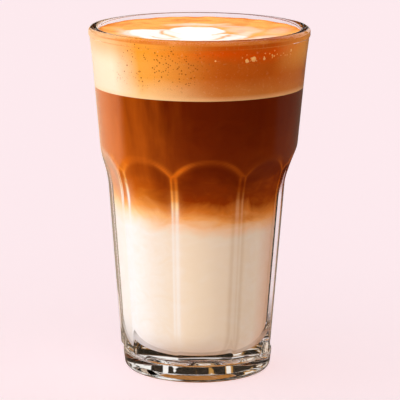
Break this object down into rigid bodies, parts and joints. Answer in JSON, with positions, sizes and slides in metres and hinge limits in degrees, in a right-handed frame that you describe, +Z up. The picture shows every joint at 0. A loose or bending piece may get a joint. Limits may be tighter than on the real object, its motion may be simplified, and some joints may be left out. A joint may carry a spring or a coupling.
{
  "type": "latte",
  "caption": "Layered latte in a tall panelled glass: cream milk below, dark coffee above it, and a thick crema foam with latte art just under the rim.",
  "frame": {"origin": "centre of the glass's base, on the surface it stands on", "axes": "+Z up along the glass's axis; -Y is the front, +X is to the right seen from the front"},
  "size_m": [0.085, 0.085, 0.134],
  "materials": {
    "clear_glass": "clear pressed soda-lime glass, fire-polished",
    "milk": "opaque warm cream milk, wet against the glass",
    "coffee": "dark brown coffee that clouds to amber where it meets the milk",
    "crema_foam": "fine orange-tan crema foam, white milk foam pattern on top"
  },
  "bodies": {
    "root": {"glass": "clear_glass", "milk": "milk", "coffee": "coffee", "foam": "crema_foam"}
  },
  "joints": []
}
